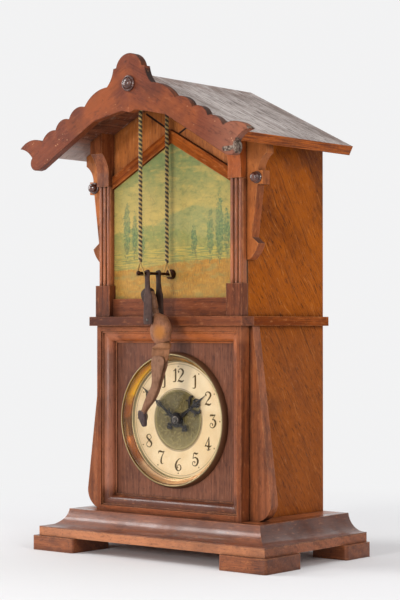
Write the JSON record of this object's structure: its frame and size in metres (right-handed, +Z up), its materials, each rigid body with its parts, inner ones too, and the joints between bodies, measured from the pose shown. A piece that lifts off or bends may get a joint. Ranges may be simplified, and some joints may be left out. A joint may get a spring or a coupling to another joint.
{
  "type": "table clock",
  "caption": "House-shaped wooden table clock with a round dial, a gabled niche and an acrobat that turns on a roped trapeze bar, with a rear door over its movement.",
  "frame": {"origin": "on the surface that the clock stands on, under the middle of its whole width and depth", "axes": "+X to the right seen from the front, -Y towards the viewer in front of the dial, +Z up"},
  "size_m": [0.2346, 0.1568, 0.385],
  "materials": {
    "walnut": "stained and waxed, brown red",
    "side_oak": "stained oak, orange brown",
    "roof_wood": "weathered, grey brown",
    "plain_wood": "plain softwood, unpolished",
    "painted_wood": "painted landscape in sage green and ochre",
    "brass": "aged brass",
    "plate_brass": "brushed brass sheet",
    "dial_paint": "champagne enamel with black numbers",
    "glass": "clear",
    "black_steel": "blackened",
    "steel": "plain steel",
    "figure_dark": "painted dark grey",
    "figure_tan": "painted tan, worn",
    "rope": "gold and black twisted cord"
  },
  "bodies": {
    "case": {"back_gable": "plain_wood", "barge_board": "walnut", "base_board": "walnut", "base_cove": "walnut", "belt_strips": "walnut", "bezel": "brass", "bezel_glass": "glass", "corbel_left": "walnut", "corbel_right": "walnut", "dial_centre": "brass", "dial_plate": "dial_paint", "divider_shelf": "walnut", "feet": "walnut", "frame_moulding": "walnut", "front_frame": "walnut", "front_panel": "walnut", "gable_board": "walnut", "gable_trims": "walnut", "hinge_case_leaves": "brass", "lower_wing_left": "walnut", "lower_wing_right": "walnut", "movement_back_plate": "plate_brass", "movement_front_plate": "plate_brass", "niche_rail": "walnut", "painted_panel": "painted_wood", "pilaster_left": "walnut", "pilaster_right": "walnut", "plinth_blocks": "walnut", "roof_panel_left": "roof_wood", "roof_panel_right": "roof_wood", "rope_fittings": "brass", "rope_front": "rope", "rope_rear": "rope", "side_panel_left": "side_oak", "side_panel_right": "side_oak", "trapeze_bracket": "plate_brass", "turned_buttons": "walnut", "upper_wing_left": "walnut", "upper_wing_right": "walnut"},
    "door": {"rear_door": "plain_wood", "hinge_door_leaves": "brass", "door_knob": "brass"},
    "minute": {"centre_arbor": "steel", "minute_hand": "black_steel"},
    "hour": {"hour_wheel": "brass", "hour_hand": "black_steel"},
    "minute_wheel": {"minute_wheel": "brass"},
    "centre_wheel": {"centre_wheel": "brass"},
    "going_barrel": {"going_barrel": "brass"},
    "going_key": {"going_key": "steel"},
    "third_wheel": {"third_wheel": "brass"},
    "escape_wheel": {"escape_wheel": "brass"},
    "pendulum": {"pendulum": "plate_brass"},
    "trapeze": {"trapeze_bar": "black_steel", "acrobat_arms": "figure_dark"},
    "trunk": {"acrobat_trunk": "figure_tan"},
    "legs": {"acrobat_legs": "figure_tan"},
    "drive_barrel": {"drive_barrel": "brass"},
    "drive_key": {"drive_key": "steel"}
  },
  "joints": [
    {"name": "door_hinge", "type": "hinge", "parent": "case", "child": "door", "pos_m": [-0.0622, 0.0762, 0.0624], "axis": [0, 0, 1], "range_deg": [0, 105]},
    {"name": "minute_turn", "type": "hinge", "parent": "case", "child": "minute", "pos_m": [0, -0.0049, 0.1058], "axis": [0, 1, 0], "continuous": true},
    {"name": "hour_turn", "type": "hinge", "parent": "case", "child": "hour", "pos_m": [0, -0.0049, 0.1058], "axis": [0, 1, 0], "continuous": true},
    {"name": "minute_wheel_turn", "type": "hinge", "parent": "case", "child": "minute_wheel", "pos_m": [0, -0.0049, 0.0938], "axis": [0, 1, 0], "continuous": true},
    {"name": "centre_wheel_turn", "type": "hinge", "parent": "case", "child": "centre_wheel", "pos_m": [0, -0.0049, 0.1058], "axis": [0, 1, 0], "continuous": true},
    {"name": "going_barrel_turn", "type": "hinge", "parent": "case", "child": "going_barrel", "pos_m": [0.01388, -0.0049, 0.08925], "axis": [0, 1, 0], "continuous": true},
    {"name": "going_key_turn", "type": "hinge", "parent": "case", "child": "going_key", "pos_m": [0.01388, -0.0049, 0.08925], "axis": [0, 1, 0], "continuous": true},
    {"name": "third_wheel_turn", "type": "hinge", "parent": "case", "child": "third_wheel", "pos_m": [-0.009, -0.0049, 0.12139], "axis": [0, 1, 0], "continuous": true},
    {"name": "escape_wheel_turn", "type": "hinge", "parent": "case", "child": "escape_wheel", "pos_m": [-0.02639, -0.0049, 0.12605], "axis": [0, 1, 0], "continuous": true},
    {"name": "pendulum_swing", "type": "hinge", "parent": "case", "child": "pendulum", "pos_m": [-0.02639, -0.0049, 0.13915], "axis": [0, 1, 0], "range_deg": [-4, 4]},
    {"name": "drive_turn", "type": "hinge", "parent": "case", "child": "drive_barrel", "pos_m": [0, -0.0186, 0.243], "axis": [0, 1, 0], "continuous": true},
    {"name": "trapeze_turn", "type": "hinge", "parent": "case", "child": "trapeze", "pos_m": [0, -0.0456, 0.219], "axis": [0, 1, 0], "continuous": true},
    {"name": "drive_key_turn", "type": "hinge", "parent": "case", "child": "drive_key", "pos_m": [0, -0.0186, 0.243], "axis": [0, 1, 0], "continuous": true},
    {"name": "shoulder", "type": "hinge", "parent": "trapeze", "child": "trunk", "pos_m": [0.002, -0.0456, 0.1826], "axis": [0, 1, 0], "range_deg": [-95, 95]},
    {"name": "hip", "type": "hinge", "parent": "trunk", "child": "legs", "pos_m": [0.009, -0.0456, 0.1525], "axis": [0, 1, 0], "range_deg": [-70, 80]}
  ],
  "couplings": [
    {"joint": "escape_wheel_turn", "follows": "third_wheel_turn", "ratio": -4},
    {"joint": "centre_wheel_turn", "follows": "third_wheel_turn", "ratio": -0.25},
    {"joint": "going_barrel_turn", "follows": "third_wheel_turn", "ratio": 0.05},
    {"joint": "minute_turn", "follows": "third_wheel_turn", "ratio": -0.25},
    {"joint": "minute_wheel_turn", "follows": "third_wheel_turn", "ratio": 0.083333},
    {"joint": "hour_turn", "follows": "third_wheel_turn", "ratio": -0.020833},
    {"joint": "trapeze_turn", "follows": "drive_turn", "ratio": -4}
  ]
}
